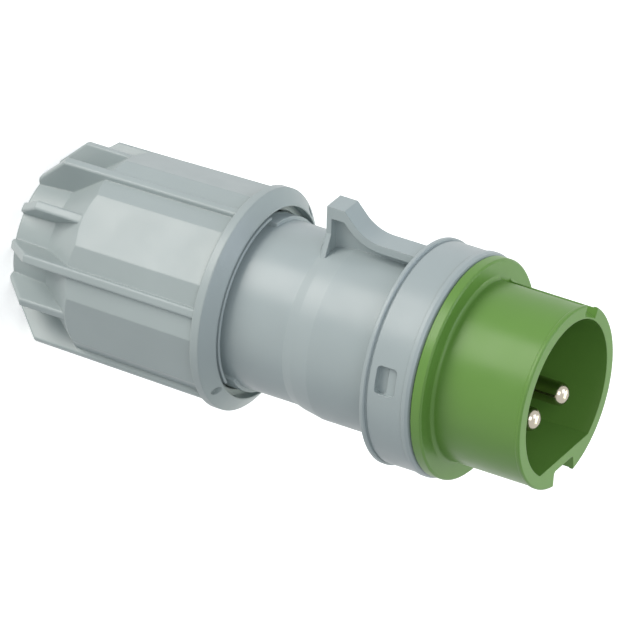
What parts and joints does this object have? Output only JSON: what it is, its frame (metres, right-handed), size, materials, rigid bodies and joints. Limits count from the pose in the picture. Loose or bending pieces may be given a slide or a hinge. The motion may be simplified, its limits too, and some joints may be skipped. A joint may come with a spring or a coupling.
{
  "type": "pin and sleeve plug",
  "caption": "Extra-low-voltage pin and sleeve plug: green keyed shroud with round pins, grey housing with latch hump and a ribbed screwed cable gland.",
  "frame": {"origin": "centre of the cable hole at the rear face of the gland nut, on which the plug stands", "axes": "+Z along the plug towards the pins, -X towards the latch hump, +X towards the large keyway"},
  "size_m": [0.0596, 0.0544, 0.139],
  "materials": {
    "housing_plastic": "satin moulded polyamide, light grey",
    "nut_plastic": "satin moulded polyamide, light grey",
    "carrier_plastic": "satin moulded polyamide, green",
    "pin_metal": "polished nickel-plated brass",
    "screw_metal": "zinc-plated steel",
    "seal_rubber": "soft black rubber",
    "clamp_plastic": "natural polyamide"
  },
  "bodies": {
    "plug_body": {"housing": "housing_plastic", "contact_carrier": "carrier_plastic", "pin_lock_plate": "carrier_plastic", "contact_pin_left": "pin_metal", "contact_pin_right": "pin_metal", "terminal_screw_left": "screw_metal", "terminal_screw_right": "screw_metal", "gland_seal": "seal_rubber", "clamp_basket": "clamp_plastic"},
    "slip_ring": {"slip_ring": "clamp_plastic"},
    "gland_nut": {"gland_nut": "nut_plastic"}
  },
  "joints": [
    {"name": "nut_travel", "type": "slide", "parent": "plug_body", "child": "slip_ring", "axis": [0, 0, -1], "range_m": [0, 0.008]},
    {"name": "nut_turn", "type": "hinge", "parent": "slip_ring", "child": "gland_nut", "pos_m": [0, 0, 0], "axis": [0, 0, -1], "range_deg": [0, 720]}
  ],
  "couplings": [
    {"joint": "nut_travel", "follows": "nut_turn", "m_per_rad": 0.0006366}
  ]
}
